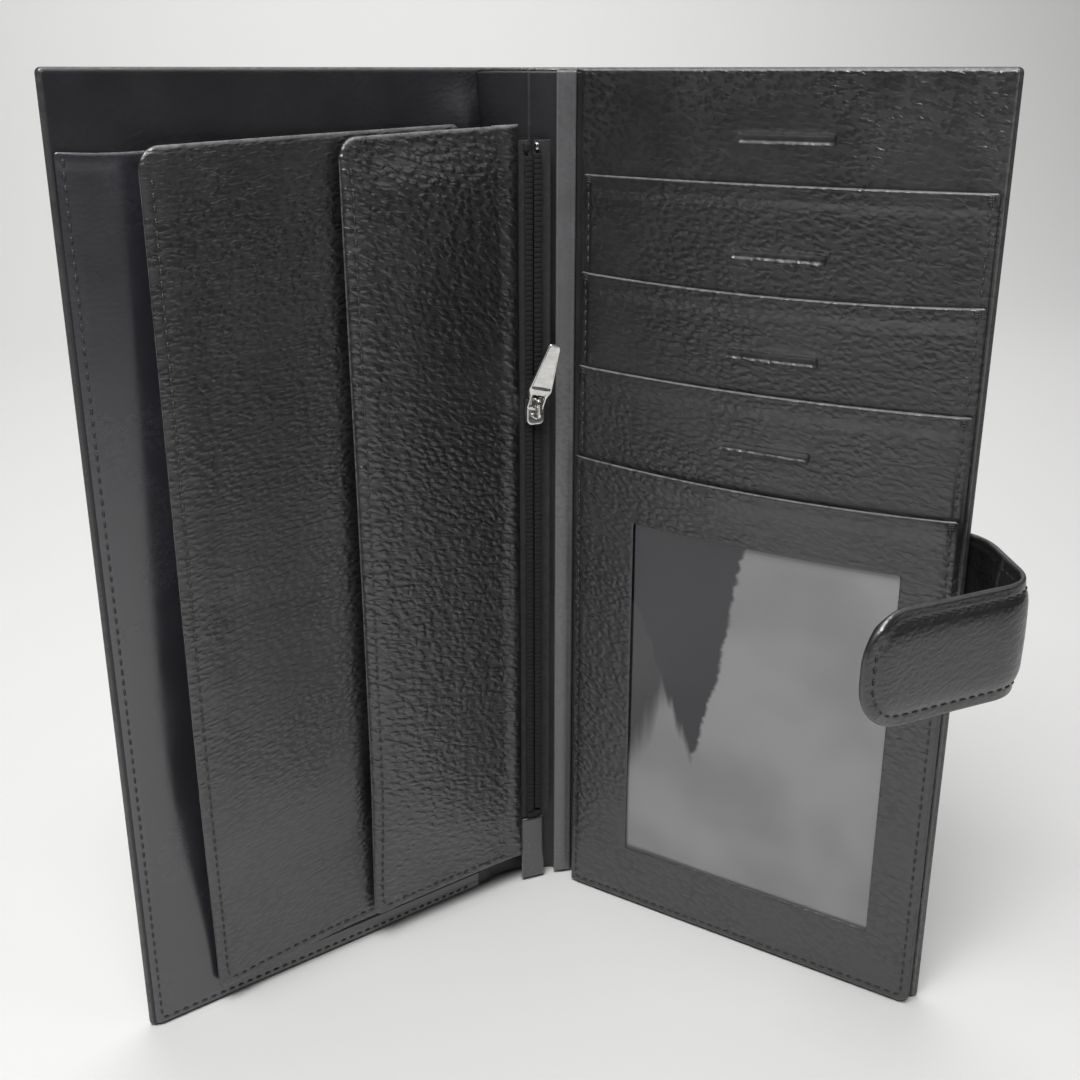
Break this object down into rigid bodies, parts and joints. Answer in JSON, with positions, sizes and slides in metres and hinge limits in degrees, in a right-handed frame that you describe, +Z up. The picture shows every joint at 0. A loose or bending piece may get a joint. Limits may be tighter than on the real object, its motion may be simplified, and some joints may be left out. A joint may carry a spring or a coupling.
{
  "type": "travel document cover",
  "caption": "Black leather bifold travel document cover with stepped pockets, a clear window, a zip pouch on the spine and a wrap-round strap tab.",
  "frame": {"origin": "under the middle of the whole open object, on the surface it stands on", "axes": "+Z up along the spine, +X across the spine to the reader's right, +Y away from the reader"},
  "size_m": [0.198, 0.117, 0.225],
  "materials": {
    "leather": "pebbled black leather, semi-gloss",
    "lining": "smooth charcoal leather facing",
    "card": "hidden grey-brown stiffener card",
    "cloth": "woven black tape and pouch cloth",
    "teeth": "black zip teeth",
    "steel": "hidden magnet and keeper plate",
    "nickel": "bright nickel plated zip runner and stops",
    "film": "clear glossy window film"
  },
  "bodies": {
    "spine": {"spine_leather": "leather", "spine_lining": "lining", "spine_strip": "lining", "zip_gusset": "leather", "zip_tape_left": "cloth", "zip_tape_right": "cloth", "zip_teeth_left": "teeth", "zip_teeth_right": "teeth", "zip_top_stop": "nickel", "zip_bottom_stop": "nickel", "zip_end_tab": "lining"},
    "left_cover": {"left_cover_leather": "leather", "left_board": "card", "keeper_plate": "steel", "left_lining": "lining", "slip_pocket": "leather", "zip_pouch_lining": "cloth", "ticket_pocket": "leather", "note_pocket": "leather"},
    "right_cover": {"right_cover_leather": "leather", "right_board": "card", "right_lining": "lining", "document_pocket_1": "leather", "document_pocket_2": "leather", "document_pocket_3": "leather", "window_pocket": "leather", "window_film": "film", "strap_root": "leather"},
    "strap_side": {"strap_side_outer": "leather", "strap_side_core": "card", "strap_side_lining": "lining"},
    "strap_tip": {"strap_tip_outer": "leather", "strap_tip_core": "card", "strap_tip_lining": "lining", "strap_magnet": "steel"},
    "zip_slider": {"zip_slider": "nickel"},
    "zip_pull": {"zip_pull": "nickel"}
  },
  "joints": [
    {"name": "left_fold", "type": "hinge", "parent": "spine", "child": "left_cover", "pos_m": [-0.00463, 0.05538, 0.1125], "axis": [0, 0, 1], "range_deg": [-26.5, 63.5], "deforming": ["zip_gusset"]},
    {"name": "right_fold", "type": "hinge", "parent": "spine", "child": "right_cover", "pos_m": [0.01901, 0.05538, 0.1125], "axis": [0, 0, -1], "range_deg": [-44.2, 45.8]},
    {"name": "strap_fold", "type": "hinge", "parent": "right_cover", "child": "strap_side", "pos_m": [0.09768, -0.01777, 0.1125], "axis": [0, 0, -1], "range_deg": [-55, 35]},
    {"name": "strap_curl", "type": "hinge", "parent": "strap_side", "child": "strap_tip", "pos_m": [0.09313, -0.0459, 0.1125], "axis": [0, 0, -1], "range_deg": [-66, 24]},
    {"name": "slider_run", "type": "slide", "parent": "spine", "child": "zip_slider", "axis": [0, 0, 1], "range_m": [-0.1147, 0.0602]},
    {"name": "pull_flip", "type": "hinge", "parent": "zip_slider", "child": "zip_pull", "pos_m": [0.00767, 0.04837, 0.1428], "axis": [0.9709, 0.2064, -0.1219], "range_deg": [-4, 160]}
  ]
}
